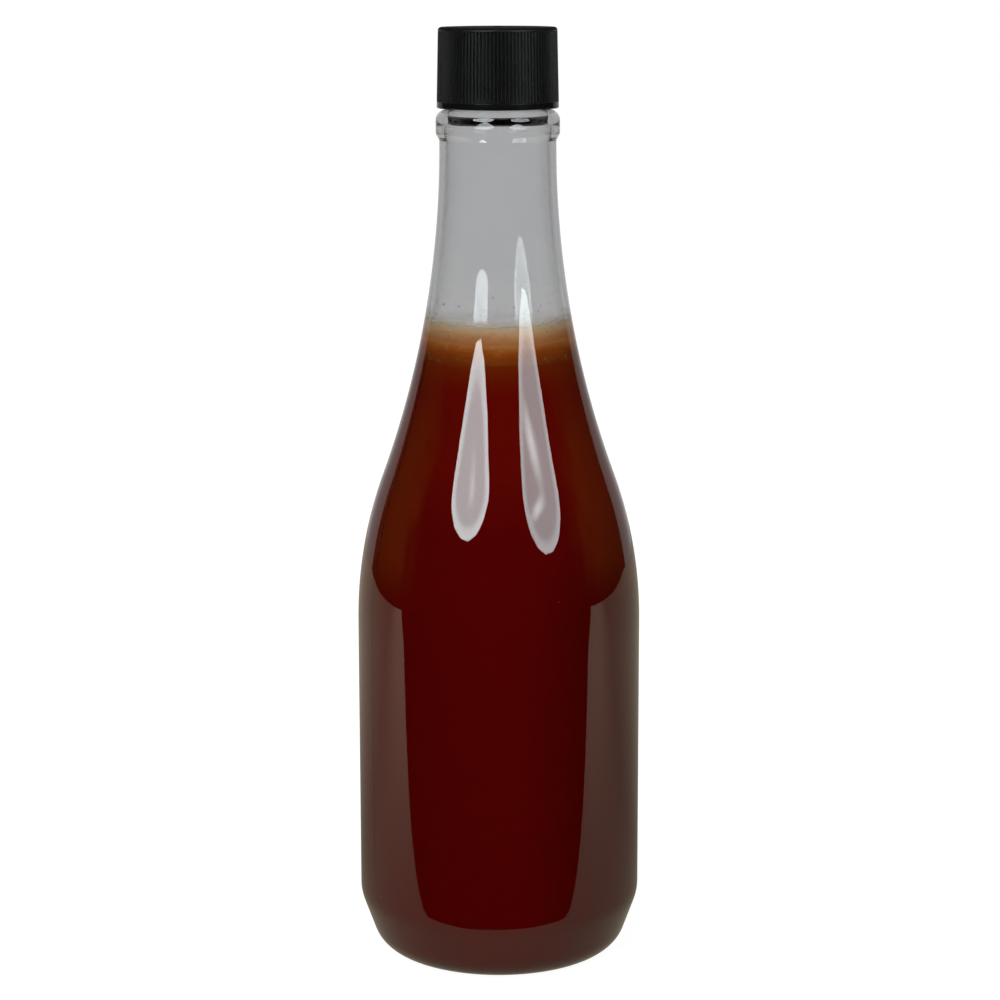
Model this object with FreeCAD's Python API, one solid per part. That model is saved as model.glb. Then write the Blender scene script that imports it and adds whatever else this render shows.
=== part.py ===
"""Clear PET sauce bottle with a ribbed screw cap, a dark sauce and the froth that floats on it.

Every piece is a solid of revolution about the Z axis, apart from the cap's grip grooves and the screw
threads. The bottle stands on the plane z = 0, with the origin at the centre of its base.
An outline is a list of corners (radius, height, rounding), and each corner is rounded by a tangent arc.
"""
import FreeCAD, Part

import math
import os

# Driving dimensions, in millimetres and degrees

# Body and base
BODY_R = 32.0             # outside radius of the straight wall
BODY_TOP_Z = 77.3         # where the straight wall ends and the shoulder starts
WALL = 0.5                # blown wall, up to where the flare's wall starts to thicken
CHAMFER_H = 13.5          # height of the inward taper above the base
CHAMFER_ANGLE = 20.0      # taper of that band from the vertical
CHAMFER_ROUND = 10.3      # blend between the taper and the straight wall
HEEL_ROUND = 7.6          # blend between the taper and the base
FOOT_W = 1.3              # flat width of the standing ring
FOOT_ROUND = 1.5          # inside edge of the standing ring
PUSH_UP_H = 4.5           # height of the raised middle of the base
PUSH_UP_SLOPE_W = 7.0     # how far inwards the base takes to rise to it
PUSH_UP_ROUND = 6.0

# Shoulder and neck
NECK_RISE = 107.5         # from the top of the straight wall to the top of the neck's flare
SHOULDER_ROUND = 97.0     # bulge of the shoulder; the flare's radius follows from it
THICKEN_DROP = 41.6       # from the top of the flare down to where its wall starts to thicken
THICKEN_BOW = 2.2         # how much gentler the inside bows there than the flare does
FLARE_WALL_DROP = 27.6    # down to where it has the next thickness
FLARE_WALL = 0.98
NECK_WALL_DROP = 12.8     # down to where it has its full thickness
NECK_WALL = 1.35
FLARE_BLEND_ROUND = 80.0  # inside, where the thickening changes
FLARE_BLEND_W = 1.9       # length kept for that blend beside each arc

# Finish, the threaded mouth inside the cap
BORE_R = 9.0
FINISH_WALL = 1.9
FINISH_H = 16.4           # from the bead's top to the mouth
FINISH_FOOT_ROUND = 0.4
MOUTH_ROUND = 0.4
BORE_TAPER_H = 4.0        # height over which the bore opens out inside the bead
BORE_TAPER_RISE = 1.0     # from the bead's top up to the start of that taper
BORE_TAPER_ROUND = 0.8
BORE_FOOT_ROUND = 4.0     # where the taper meets the bead's inside

# Neck bead
BEAD_H = 6.7              # from its foot to its top
BEAD_LEDGE_W = 0.43       # from the finish out to the bead's rounded top
BEAD_TOP_ROUND = 2.4
BEAD_STEP = 0.78          # how far the bead stands out from the neck
BEAD_TAPER_H = 1.4        # height of the taper below it
BEAD_TAPER_ROUND = 1.0
BEAD_FOOT_ROUND = 0.5
BEAD_FOOT_RISE = 0.7      # from the top of the flare to the bead's foot
BEAD_WALL = 1.7           # inside the bead, where the bore's taper starts
BEAD_INNER_ROUND = 4.0

# Screw thread
THREAD_PITCH = 3.175
THREAD_TURNS = 1.5
THREAD_DEPTH = 0.95
THREAD_ROOT_SHARE = 0.63  # share of the pitch that a ridge takes at its root
THREAD_CREST_SHARE = 0.25
THREAD_BITE = 0.2         # how far a ridge's root is sunk into its wall
THREAD_CLEARANCE = 0.25   # between a ridge's crest and the wall that it faces
THREAD_TOP_GAP = 2.6      # from the mouth down to the middle of the bottle's ridge, at its upper end

# Cap
CAP_WALL = 1.4            # skirt over the ribs, at its lower edge
CAP_DRAFT = 0.38          # how much narrower the skirt's radius is at the top
CAP_TOP_T = 1.5
CAP_TOP_ROUND = 0.7
CAP_RIM_ROUND = 0.25
CAP_BEAD_GAP = 0.3        # between the cap's lower edge and the bead
CAP_BAND_H = 1.4          # smooth band below the ribs
CAP_CROWN_H = 0.8         # smooth ring above the ribs
CAP_THREAD_DROP = 0.5     # the cap's ridge lies this share of a pitch below the bottle's
RIB_COUNT = 100
GROOVE_DEPTH = 0.32
GROOVE_SHARE = 0.68       # share of a rib's pitch that its groove takes
GATE_R = 0.8              # moulding mark in the middle of the top
GATE_H = 0.2

# Contents
HEADSPACE_H = 42.7        # from the top of the neck's flare down to the froth
FROTH_T = 4.7
FROTH_DIP = 0.7           # how far the middle of the froth lies below its edge
FROTH_LIP_W = 2.2         # width over which it climbs to the edge
FROTH_LIP_ROUND = 4.0
FILL_CLEARANCE = 0.05     # between the contents and the inside of the wall

# Radii and heights that follow from them
FINISH_R = BORE_R + FINISH_WALL
BEAD_R = FINISH_R + BEAD_LEDGE_W + BEAD_TOP_ROUND
NECK_R = BEAD_R - BEAD_STEP
NECK_Z = BODY_TOP_Z + NECK_RISE
BEAD_FOOT_Z = NECK_Z + BEAD_FOOT_RISE
BEAD_TOP_Z = BEAD_FOOT_Z + BEAD_H
MOUTH_Z = BEAD_TOP_Z + FINISH_H
CAP_BORE_R = FINISH_R + THREAD_DEPTH + THREAD_CLEARANCE
CAP_BOTTOM_Z = BEAD_TOP_Z + CAP_BEAD_GAP
CAP_TOP_Z = MOUTH_Z + CAP_TOP_T
FROTH_Z = NECK_Z - HEADSPACE_H
SAUCE_Z = FROTH_Z - FROTH_T


def unit(start, end):
    """Direction from one (radius, height) point to another."""
    length = math.hypot(end[0] - start[0], end[1] - start[1])
    return (end[0] - start[0]) / length, (end[1] - start[1]) / length


def turn_angle(before, after):
    """Signed turn between two directions, positive to the left."""
    return math.atan2(before[0] * after[1] - before[1] * after[0],
                      before[0] * after[0] + before[1] * after[1])


def on_plane(radius, height):
    """Point of the XZ half plane that outlines are drawn in."""
    return FreeCAD.Vector(radius, 0, height)


def line_edges(start, end):
    """One straight edge, or none where two roundings meet."""
    shortest = 1e-6
    if math.hypot(end[0] - start[0], end[1] - start[1]) < shortest:
        return []
    return [Part.LineSegment(on_plane(start[0], start[1]), on_plane(end[0], end[1])).toShape()]


def rounded_edges(corners):
    """Lines and tangent arcs through corners (radius, height, rounding)."""
    edges = []
    last = corners[0]
    for before, corner, after in zip(corners, corners[1:], corners[2:]):
        arriving, leaving = unit(before, corner), unit(corner, after)
        half_turn = abs(turn_angle(arriving, leaving)) / 2
        tangent = corner[2] * math.tan(half_turn)
        sagitta = corner[2] * (1 / math.cos(half_turn) - 1)
        inwards = unit(arriving, leaving)
        start = (corner[0] - arriving[0] * tangent, corner[1] - arriving[1] * tangent)
        middle = (corner[0] + inwards[0] * sagitta, corner[1] + inwards[1] * sagitta)
        end = (corner[0] + leaving[0] * tangent, corner[1] + leaving[1] * tangent)
        edges += line_edges(last, start)
        if tangent > 0:
            edges.append(Part.Arc(on_plane(*start), on_plane(*middle), on_plane(*end)).toShape())
        last = end
    return edges + line_edges(last, corners[-1])


def offset_left(corners, distance):
    """Corners of the parallel outline on the left, the inner side of one that runs up the outside."""
    moved = []
    directions = [unit(start, end) for start, end in zip(corners, corners[1:])]
    for index, (radius, height, rounding) in enumerate(corners):
        before = directions[max(index - 1, 0)]
        after = directions[min(index, len(directions) - 1)]
        turn = turn_angle(before, after)
        miter = distance * math.tan(turn / 2)
        moved.append((radius - before[1] * distance - before[0] * miter,
                      height + before[0] * distance - before[1] * miter,
                      rounding - math.copysign(distance, turn) if rounding > 0 else 0))
    return moved


def revolved(corners):
    """Solid of revolution about the Z axis of the outline that the corners close."""
    edges = rounded_edges(corners) + line_edges(corners[-1], corners[0])
    face = Part.Face(Part.Wire(Part.__sortEdges__(edges)))
    return face.revolve(FreeCAD.Vector(0, 0, 0), FreeCAD.Vector(0, 0, 1), 360)


def base_corners():
    """Raised middle, standing ring, heel and taper."""
    heel_r = BODY_R - CHAMFER_H * math.tan(math.radians(CHAMFER_ANGLE))
    foot_outer_r = heel_r - HEEL_ROUND * math.tan(math.radians(90 - CHAMFER_ANGLE) / 2)
    slope = math.atan2(PUSH_UP_H, PUSH_UP_SLOPE_W)
    foot_inner_r = foot_outer_r - FOOT_W - FOOT_ROUND * math.tan(slope / 2)
    return [(0, PUSH_UP_H, 0),
            (foot_inner_r - PUSH_UP_SLOPE_W, PUSH_UP_H, PUSH_UP_ROUND),
            (foot_inner_r, 0, FOOT_ROUND),
            (heel_r, 0, HEEL_ROUND),
            (BODY_R, CHAMFER_H, CHAMFER_ROUND)]


def flare_shape():
    """Radius of the flare, and the angle over which it turns from the shoulder's lean to upright."""
    step_in = BODY_R - NECK_R
    both_rounds = (NECK_RISE ** 2 + step_in ** 2) / (2 * step_in)
    return both_rounds - SHOULDER_ROUND, math.asin(NECK_RISE / both_rounds)


def ogee_corners():
    """The shoulder's bulge and the flare that meets it tangentially."""
    flare_round, turn = flare_shape()
    return [(BODY_R, BODY_TOP_Z + SHOULDER_ROUND * math.tan(turn / 2), SHOULDER_ROUND),
            (NECK_R, NECK_Z - flare_round * math.tan(turn / 2), flare_round)]


def flare_point(lean, wall):
    """Point on the inside of the flare, where its outside leans by an angle and its wall is so thick."""
    flare_round, _ = flare_shape()
    reach = flare_round + wall
    return NECK_R + flare_round - reach * math.cos(lean), NECK_Z - reach * math.sin(lean)


def bowed_corner(low, high, bow_round):
    """Corner of the arc, hollow towards the outside, from one point up to another, with room for blends."""
    along = unit(low, high)
    half_turn = math.asin(math.dist(low, high) / (2 * bow_round))
    sink = bow_round * math.sin(half_turn) ** 2 / math.cos(half_turn)
    tangent = bow_round * math.tan(half_turn)
    return ((low[0] + high[0]) / 2 - along[1] * sink, (low[1] + high[1]) / 2 + along[0] * sink,
            bow_round * (1 - FLARE_BLEND_W / tangent))


def inner_flare_corners():
    """Inside of the flare, whose wall thickens upwards in two stages."""
    flare_round, turn = flare_shape()
    drops = (THICKEN_DROP, FLARE_WALL_DROP, NECK_WALL_DROP, 0)
    leans = [turn] + [math.asin(drop / flare_round) for drop in drops]
    walls = [WALL, WALL, FLARE_WALL, NECK_WALL, NECK_WALL]
    bows = [flare_round + wall for wall in walls[1:]]
    bows[1] *= THICKEN_BOW
    points = [flare_point(lean, wall) for lean, wall in zip(leans, walls)]
    corners = []
    for low, high, bow in zip(points, points[1:], bows):
        corners += [bowed_corner(low, high, bow), (*high, FLARE_BLEND_ROUND)]
    return corners[:-1]


def blown_corners():
    """Outside of the blown wall, from the middle of the base up to the bead's top."""
    bead = [(NECK_R, BEAD_FOOT_Z, BEAD_FOOT_ROUND),
            (BEAD_R, BEAD_FOOT_Z + BEAD_TAPER_H, BEAD_TAPER_ROUND),
            (BEAD_R, BEAD_TOP_Z, BEAD_TOP_ROUND)]
    return base_corners() + ogee_corners() + bead


def outer_corners():
    """Outside of the whole bottle, ending on the axis above the mouth."""
    finish = [(FINISH_R, BEAD_TOP_Z, FINISH_FOOT_ROUND), (FINISH_R, MOUTH_Z, MOUTH_ROUND), (0, MOUTH_Z, 0)]
    return blown_corners() + finish


def inner_corners():
    """Inside of the bottle: the blown wall's inner face, the taper inside the bead, and the bore."""
    shoulder_top = len(base_corners()) + 1
    body = offset_left(blown_corners(), WALL)[:shoulder_top]
    taper_top_z = BEAD_TOP_Z + BORE_TAPER_RISE
    bore = [(NECK_R - NECK_WALL, BEAD_FOOT_Z, BEAD_INNER_ROUND),
            (BEAD_R - BEAD_WALL, taper_top_z - BORE_TAPER_H, BORE_FOOT_ROUND),
            (BORE_R, taper_top_z, BORE_TAPER_ROUND),
            (BORE_R, MOUTH_Z, 0), (0, MOUTH_Z, 0)]
    return body + inner_flare_corners() + bore


def thread_ridge(wall_r, crest_r, start_z):
    """Trapezoid ridge that climbs round a wall, with its root sunk into the wall."""
    root_r = wall_r - math.copysign(THREAD_BITE, crest_r - wall_r)
    upper = [(root_r, THREAD_PITCH * THREAD_ROOT_SHARE / 2), (crest_r, THREAD_PITCH * THREAD_CREST_SHARE / 2)]
    lower = [(radius, -height) for radius, height in reversed(upper)]
    section = Part.makePolygon([on_plane(radius, height) for radius, height in upper + lower + upper[:1]])
    helix = Part.makeHelix(THREAD_PITCH, THREAD_PITCH * THREAD_TURNS, wall_r)
    ridge = Part.Wire(helix.Edges).makePipeShell([section], True, True)
    ridge.translate(FreeCAD.Vector(0, 0, start_z))
    return ridge


def thread_start_z():
    """Height of the lower end of the bottle's ridge."""
    return MOUTH_Z - THREAD_TOP_GAP - THREAD_PITCH * THREAD_TURNS


def make_bottle():
    """Blown wall, neck bead and threaded finish, in one piece."""
    shell = revolved(outer_corners()).cut(revolved(inner_corners()))
    return shell.fuse(thread_ridge(FINISH_R, FINISH_R + THREAD_DEPTH, thread_start_z()))


def skirt_radius(height):
    """Radius over the cap's ribs at a height."""
    share = (height - CAP_BOTTOM_Z) / (CAP_TOP_Z - CAP_BOTTOM_Z)
    return CAP_BORE_R + CAP_WALL - CAP_DRAFT * share


def groove_cutters():
    """One wedge for each gap between two ribs, leaning with the draft of the skirt."""
    overshoot = 1.5
    spread = overshoot * math.pi * GROOVE_SHARE / RIB_COUNT
    wedges = []
    for index in range(RIB_COUNT):
        middle = 2 * math.pi * index / RIB_COUNT
        sections = []
        for height in (CAP_BOTTOM_Z + CAP_BAND_H, CAP_TOP_Z - CAP_CROWN_H):
            root_r = skirt_radius(height) - GROOVE_DEPTH
            rim_r = root_r + overshoot * GROOVE_DEPTH
            corners = [(root_r, middle), (rim_r, middle - spread), (rim_r, middle + spread), (root_r, middle)]
            sections.append(Part.makePolygon([FreeCAD.Vector(radius * math.cos(angle),
                                                             radius * math.sin(angle), height)
                                              for radius, angle in corners]))
        wedges.append(Part.makeLoft(sections, True, True))
    return Part.makeCompound(wedges)


def make_cap():
    """Screw cap that seats on the mouth, with grip ribs round its skirt and a thread inside."""
    body = revolved([(CAP_BORE_R, CAP_BOTTOM_Z, 0),
                     (skirt_radius(CAP_BOTTOM_Z), CAP_BOTTOM_Z, CAP_RIM_ROUND),
                     (skirt_radius(CAP_TOP_Z), CAP_TOP_Z, CAP_TOP_ROUND),
                     (0, CAP_TOP_Z, 0), (0, MOUTH_Z, 0), (CAP_BORE_R, MOUTH_Z, 0)])
    gate = Part.makeCylinder(GATE_R, CAP_TOP_Z + GATE_H - MOUTH_Z, FreeCAD.Vector(0, 0, MOUTH_Z))
    ridge = thread_ridge(CAP_BORE_R, FINISH_R + THREAD_CLEARANCE,
                         thread_start_z() - CAP_THREAD_DROP * THREAD_PITCH)
    return body.cut(groove_cutters()).fuse([gate, ridge])


def filling_up_to(level):
    """Whatever fills the bottle from the base up to a level."""
    return revolved(offset_left(inner_corners(), FILL_CLEARANCE)).common(Part.makeCylinder(BODY_R, level))


def make_sauce():
    """Sauce from the base up to its level."""
    return filling_up_to(SAUCE_Z)


def make_froth():
    """Froth that floats on the sauce and climbs a little way up the wall."""
    filling = filling_up_to(FROTH_Z)
    rim_r = max(filling.Faces, key=lambda face: face.CenterOfMass.z).BoundBox.XMax
    middle_z = FROTH_Z - FROTH_DIP
    hollow = revolved([(0, middle_z, 0), (rim_r - FROTH_LIP_W, middle_z, FROTH_LIP_ROUND),
                       (rim_r, FROTH_Z, 0), (rim_r, FROTH_Z + FROTH_DIP, 0), (0, FROTH_Z + FROTH_DIP, 0)])
    return filling.cut([Part.makeCylinder(BODY_R, SAUCE_Z), hollow])


MAKERS = {"bottle": make_bottle, "cap": make_cap, "sauce": make_sauce, "froth": make_froth}


def main():
    """Write one STEP file for each piece."""
    os.makedirs("parts", exist_ok=True)
    for name, make in MAKERS.items():
        shape = make()
        shape.exportStep(os.path.join("parts", name + ".step"))
        print(f"{name}: {len(shape.Solids)} solid, {shape.Volume / 1000:.2f} ml, valid {shape.isValid()}")


main()
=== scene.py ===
"""Clear plastic sauce bottle with a ribbed black cap, a dark sauce and froth, dressed for its picture.

The bottle stands on the plane z = 0 with its axis on Z. Sizes are in millimetres, as a bottle maker writes
them, and MM turns them into metres where a mesh is made. Angles round the axis start at the front, which
faces -Y, and grow towards +X.
"""

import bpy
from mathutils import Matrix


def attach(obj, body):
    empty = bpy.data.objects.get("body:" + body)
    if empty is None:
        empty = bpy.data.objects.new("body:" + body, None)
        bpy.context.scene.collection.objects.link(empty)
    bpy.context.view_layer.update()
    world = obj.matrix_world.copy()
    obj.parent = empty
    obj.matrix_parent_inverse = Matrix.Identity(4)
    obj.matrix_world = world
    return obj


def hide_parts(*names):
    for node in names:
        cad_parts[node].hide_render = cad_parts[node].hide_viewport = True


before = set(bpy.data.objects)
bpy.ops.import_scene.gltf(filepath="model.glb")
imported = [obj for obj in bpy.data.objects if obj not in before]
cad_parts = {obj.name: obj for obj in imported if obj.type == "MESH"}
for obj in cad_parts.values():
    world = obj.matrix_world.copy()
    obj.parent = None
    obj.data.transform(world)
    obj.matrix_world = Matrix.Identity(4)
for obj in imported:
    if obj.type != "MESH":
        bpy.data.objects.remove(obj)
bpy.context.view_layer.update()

import logging
import math
from dataclasses import dataclass, field
from enum import Enum
from typing import Callable, NamedTuple, Sequence

import bmesh
import bpy
from bpy.types import Material, Mesh, Node, NodeSocket, Object
from mathutils import Matrix, Vector, noise

MM = 0.001
ROOT = "root"
log = logging.getLogger("sauce_bottle")

Colour = tuple[float, float, float]
Profile = Sequence[tuple[float, float]]


# Outlines

class Corner(NamedTuple):
    """Corner of an outline on the half plane through the axis, in millimetres."""

    radius: float
    height: float
    rounding: float = 0.0


class Grain(Enum):
    """How closely an outline is divided: the longest run and the largest turn of one step."""

    FINE = (1.0, 6.0)
    CLEAR = (1.6, 5.0)


def direction(start: Sequence[float], end: Sequence[float]) -> Vector:
    """Unit vector from one (radius, height) point to another."""
    return (Vector(end[:2]) - Vector(start[:2])).normalized()


def turn_between(before: Vector, after: Vector) -> float:
    """Turn in radians from one direction to the next, positive to the left."""
    return math.atan2(before.x * after.y - before.y * after.x, before.dot(after))


def trace(corners: Sequence[Corner], grain: Grain) -> list[tuple[float, float]]:
    """Points along the straight runs and tangent arcs through the corners.

    Args:
        corners: Corners of the outline, in order.
        grain: How closely it is divided.

    Returns:
        Points (radius, height) in millimetres.
    """
    step, turn_step = grain.value
    points = [Vector(corners[0][:2])]

    def run_to(target: Vector) -> None:
        """Adds a straight run in even steps.

        Args:
            target: Where the run ends.
        """
        start = points[-1].copy()
        length = (target - start).length
        if length < 1e-6:
            return
        count = max(1, math.ceil(length / step))
        points.extend(start.lerp(target, index / count) for index in range(1, count + 1))

    for before, corner, after in zip(corners, corners[1:], corners[2:]):
        arriving, leaving = direction(before, corner), direction(corner, after)
        turn = turn_between(arriving, leaving)
        start = Vector(corner[:2]) - arriving * corner.rounding * math.tan(abs(turn) / 2)
        run_to(start)
        if corner.rounding <= 0 or abs(turn) < 1e-9:
            continue
        side = math.copysign(1.0, turn)
        centre = start + Vector((-arriving.y, arriving.x)) * side * corner.rounding
        count = max(math.ceil(abs(turn) / math.radians(turn_step)),
                    math.ceil(abs(turn) * corner.rounding / step))
        spoke = start - centre
        points.extend(centre + Matrix.Rotation(turn * index / count, 2) @ spoke
                      for index in range(1, count + 1))
    run_to(Vector(corners[-1][:2]))
    return [(max(point.x, 0.0), point.y) for point in points]


def offset_left(corners: Sequence[Corner], distance: float) -> list[Corner]:
    """Corners of the parallel outline on the left, with roundings that stay parallel.

    Args:
        corners: Corners of the first outline, in order.
        distance: How far to the left the new one lies, in millimetres.

    Returns:
        The new corners.
    """
    directions = [direction(start, end) for start, end in zip(corners, corners[1:])]
    moved = []
    for index, corner in enumerate(corners):
        before = directions[max(index - 1, 0)]
        after = directions[min(index, len(directions) - 1)]
        turn = turn_between(before, after)
        miter = distance * math.tan(turn / 2)
        rounding = corner.rounding - math.copysign(distance, turn) if corner.rounding > 0 else 0.0
        moved.append(Corner(corner.radius - before.y * distance - before.x * miter,
                            corner.height + before.x * distance - before.y * miter, max(rounding, 0.0)))
    return moved


def radius_at(points: Profile, height: float) -> float:
    """Radius of a traced outline at a height, on its last way up.

    Args:
        points: Points (radius, height) of the outline.
        height: Height to look up, in millimetres.

    Returns:
        The radius in millimetres.
    """
    found = points[-1][0]
    for low, high in zip(points, points[1:]):
        if low[1] < high[1] and low[1] <= height <= high[1]:
            share = (height - low[1]) / (high[1] - low[1])
            found = low[0] + share * (high[0] - low[0])
    return found


def round_the_axis(radius: float, angle: float, height: float) -> Vector:
    """Point in metres from a radius, an angle from the front and a height in millimetres."""
    return Vector((radius * math.sin(angle), -radius * math.cos(angle), height)) * MM


# Node trees

class Value:
    """Output of a node that is used in formulas, where each operator adds a Math node."""

    def __init__(self, tree: "NodeTree", socket: NodeSocket) -> None:
        """Keeps the output and the tree that holds it."""
        self.tree, self.socket = tree, socket

    def __add__(self, other: object) -> "Value":
        """Sum."""
        return self.tree.math("ADD", self, other)

    def __sub__(self, other: object) -> "Value":
        """Difference."""
        return self.tree.math("SUBTRACT", self, other)

    def __rsub__(self, other: float) -> "Value":
        """Difference from a number."""
        return self.tree.math("SUBTRACT", other, self)

    def __mul__(self, other: object) -> "Value":
        """Product."""
        return self.tree.math("MULTIPLY", self, other)

    def __truediv__(self, other: object) -> "Value":
        """Quotient."""
        return self.tree.math("DIVIDE", self, other)

    def __pow__(self, other: float) -> "Value":
        """Power."""
        return self.tree.math("POWER", self, other)

    def __abs__(self) -> "Value":
        """Size without its sign."""
        return self.tree.math("ABSOLUTE", self)

    def __gt__(self, other: float) -> "Value":
        """1 where it is above a number, and 0 elsewhere."""
        return self.tree.math("GREATER_THAN", self, other)

    def __lt__(self, other: float) -> "Value":
        """1 where it is below a number, and 0 elsewhere."""
        return self.tree.math("LESS_THAN", self, other)

    def at_least(self, least: object) -> "Value":
        """The larger of the two."""
        return self.tree.math("MAXIMUM", self, least)

    def at_most(self, most: object) -> "Value":
        """The smaller of the two."""
        return self.tree.math("MINIMUM", self, most)


class NodeTree:
    """A node tree with short calls for adding nodes."""

    prefix = ""

    def __init__(self, tree: bpy.types.NodeTree) -> None:
        """Empties the tree."""
        self.tree = tree
        tree.nodes.clear()

    def add(self, kind: str, settings: dict[str, object] | None = None, **sockets: object) -> Node:
        """Adds a node and joins or sets its inputs.

        Args:
            kind: Blender's name for the node, where the tree's own prefix may be left out.
            settings: Properties of the node.
            **sockets: Inputs by name with _ for a space, or in_N by number; an output or a value.

        Returns:
            The node.
        """
        node = self.tree.nodes.new(kind if "Node" in kind else self.prefix + kind)
        for key, value in (settings or {}).items():
            setattr(node, key, value)
        for key, value in sockets.items():
            numbered = key.startswith("in_") and key[3:].isdigit()
            socket = node.inputs[int(key[3:]) if numbered else key.replace("_", " ")]
            value = value.socket if isinstance(value, Value) else value
            if isinstance(value, NodeSocket):
                self.tree.links.new(value, socket)
            elif isinstance(value, tuple) and len(value) == 3 and socket.type == "RGBA":
                socket.default_value = (*value, 1.0)
            else:
                socket.default_value = value
        return node

    def read(self, output: int | str, kind: str, settings: dict[str, object] | None = None,
             **sockets: object) -> Value:
        """Adds a node as add does, and gives its output of that number or name."""
        return Value(self, self.add(kind, settings, **sockets).outputs[output])

    def math(self, operation: str, first: object, second: object = 0.0) -> Value:
        """Result of a Math node with Blender's name for the operation."""
        return self.read(0, "ShaderNodeMath", {"operation": operation}, in_0=first, in_1=second)

    def split(self, vector: object) -> list[Value]:
        """The three parts of a vector."""
        return [Value(self, output) for output in self.add("ShaderNodeSeparateXYZ", in_0=vector).outputs]


class GeometryTree(NodeTree):
    """A geometry node tree with named inputs, which is run on a mesh and then taken away."""

    prefix = "GeometryNode"

    def __init__(self, name: str, **inputs: object) -> None:
        """Starts a tree.

        Args:
            name: Name of the tree.
            **inputs: Named inputs with _ for a space, and the number or material that each gets.
        """
        super().__init__(bpy.data.node_groups.new(name, "GeometryNodeTree"))
        face = self.tree.interface
        for way in ("INPUT", "OUTPUT"):
            face.new_socket(name="Geometry", in_out=way, socket_type="NodeSocketGeometry")
        self.values: dict[str, object] = {}
        for key, value in inputs.items():
            kind = "NodeSocket" + {int: "Int", float: "Float"}.get(type(value), "Material")
            socket = face.new_socket(name=key.replace("_", " "), in_out="INPUT", socket_type=kind)
            self.values[socket.identifier] = value
        self.given = self.add("NodeGroupInput").outputs

    def instances(self, points: NodeSocket, shape: NodeSocket, **turned: object) -> NodeSocket:
        """Copies of a shape on points, with the Rotation or Scale that is given."""
        return self.add("InstanceOnPoints", Points=points, Instance=shape, **turned).outputs[0]

    def run(self, name: str, mesh: Mesh, geometry: NodeSocket) -> Object:
        """Ends the tree in Realize Instances and Set Material, and runs it on a mesh.

        Args:
            name: Name of the finished object.
            mesh: What the tree starts from.
            geometry: What the tree has made.

        Returns:
            The finished object with a plain mesh, at the origin.
        """
        realized = self.add("RealizeInstances", Geometry=geometry)
        dressed = self.add("SetMaterial", Geometry=realized.outputs[0], Material=self.given["Material"])
        self.add("NodeGroupOutput", Geometry=dressed.outputs[0])
        worked = bpy.data.objects.new(name, mesh)
        bpy.context.scene.collection.objects.link(worked)
        modifier = worked.modifiers.new(self.tree.name, "NODES")
        modifier.node_group = self.tree
        for identifier, value in self.values.items():
            modifier[identifier] = value
        made = bpy.data.meshes.new_from_object(worked.evaluated_get(bpy.context.evaluated_depsgraph_get()))
        worked.modifiers.remove(modifier)
        worked.data = made
        made.name = name
        return worked


class ShaderTree(NodeTree):
    """A shader node tree, with the material that it belongs to if it has one."""

    prefix = "ShaderNode"
    material: Material | None = None

    @classmethod
    def of_material(cls, name: str) -> "ShaderTree":
        """Empty tree of a new material.

        Args:
            name: Name of the material.

        Returns:
            The tree, with the material kept in it.
        """
        material = bpy.data.materials.new(name)
        material.use_nodes = True
        tree = cls(material.node_tree)
        tree.material = material
        return tree

    def show(self, shader: Node) -> Material:
        """Ends the tree in a shader and gives its material."""
        self.add("OutputMaterial", Surface=shader.outputs[0])
        return self.material

    def place(self) -> Value:
        """Place on the object, in metres."""
        return self.read("Object", "TexCoord")

    def stretched(self, place: Value, scale: Colour) -> Value:
        """Place for a pattern that is drawn out by a factor along each axis."""
        return self.read(0, "Mapping", {"vector_type": "TEXTURE"}, Vector=place, Scale=scale)

    def noise(self, place: Value, scale: float, detail: float = 2.0, distortion: float = 0.0) -> Value:
        """Soft random pattern from 0 to 1."""
        return self.read(0, "TexNoise", Vector=place, Scale=scale, Detail=detail, Distortion=distortion)

    def spots(self, place: Value, scale: float) -> tuple[Value, list[Value]]:
        """Distance from the middle of the nearest of many random cells, and its random colour's parts."""
        cells = self.add("TexVoronoi", {"feature": "F1"}, Vector=place, Scale=scale).outputs
        return Value(self, cells["Distance"]), self.split(cells["Color"])

    def length(self, vector: object) -> Value:
        """Length of a vector."""
        return self.read("Value", "VectorMath", {"operation": "LENGTH"}, in_0=vector)

    def span(self, value: Value, low: float, high: float, smooth: bool = True) -> Value:
        """Output that goes from 0 to 1 as a value goes from low to high.

        Args:
            value: The output that is read.
            low: Value at which the result is 0.
            high: Value at which the result is 1.
            smooth: Whether the change eases in and out.

        Returns:
            The result.
        """
        return self.read(0, "MapRange", {"interpolation_type": "SMOOTHSTEP" if smooth else "LINEAR"},
                         Value=value, From_Min=low, From_Max=high)

    def blend(self, share: Value, first: object, second: object) -> Value:
        """Colour between two colours, with share as how much of the second shows."""
        return self.read(2, "Mix", {"data_type": "RGBA"}, in_0=share, in_6=first, in_7=second)

    def ramp(self, value: Value, stops: Sequence[tuple[float, Colour]]) -> Value:
        """Colour from a ramp.

        Args:
            value: Place along the ramp, from 0 to 1.
            stops: Places and their colours.

        Returns:
            The colour.
        """
        node = self.add("ValToRGB", Fac=value)
        elements = node.color_ramp.elements
        while len(elements) < len(stops):
            elements.new(1.0)
        for element, (place, colour) in zip(elements, stops):
            element.position = place
            element.color = (*colour, 1.0)
        return Value(self, node.outputs["Color"])

    def mix(self, share: object, first: Node, second: Node) -> Node:
        """Mix Shader node of two shaders, with share as how much of the second shows."""
        return self.add("MixShader", in_0=share, in_1=first.outputs[0], in_2=second.outputs[0])

    def glow(self, strength: object, colour: Colour = (1.0, 1.0, 1.0), kind: str = "Emission") -> Node:
        """Light of its own, for a surface or with kind as Background for the world."""
        return self.add(kind, Color=colour, Strength=strength)


# Mesh work

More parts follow.
